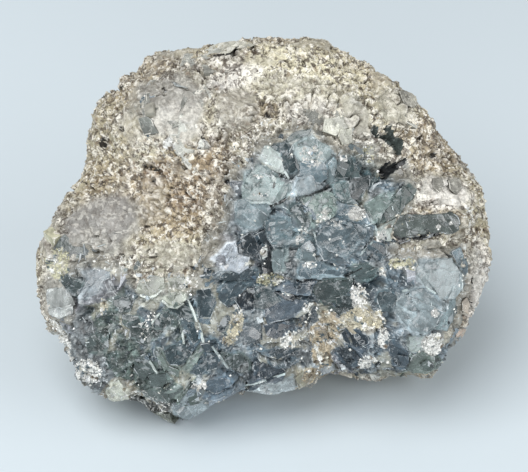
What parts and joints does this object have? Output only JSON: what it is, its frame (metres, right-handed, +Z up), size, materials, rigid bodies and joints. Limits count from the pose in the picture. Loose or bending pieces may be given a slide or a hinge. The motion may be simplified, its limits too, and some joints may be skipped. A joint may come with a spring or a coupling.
{
  "type": "celestite crystal cluster",
  "caption": "Broken lump of pale host rock whose face is lined with interlocked blue-grey celestite crystals; a natural specimen that rests on a flat cut base.",
  "frame": {"origin": "on the floor, under the middle of the cluster's box", "axes": "+X to the right across the crystal-lined face, +Y towards the rough back, +Z up; the face looks along -Y and 40 degrees up"},
  "size_m": [0.1008, 0.0736, 0.0706],
  "materials": {
    "host_rock": "rough, granular and sparkling, cream to tan with brown pits",
    "celestite": "glassy cleavage faces, translucent slate blue to pale lilac, with white broken edges",
    "pale_celestite": "glassy, translucent grey-white"
  },
  "bodies": {
    "root": {"matrix": "host_rock", "celestite_mass": "celestite", "upper_left_crystals": "pale_celestite", "rim_crystal": "pale_celestite", "ridge_crystal": "pale_celestite"}
  },
  "joints": []
}
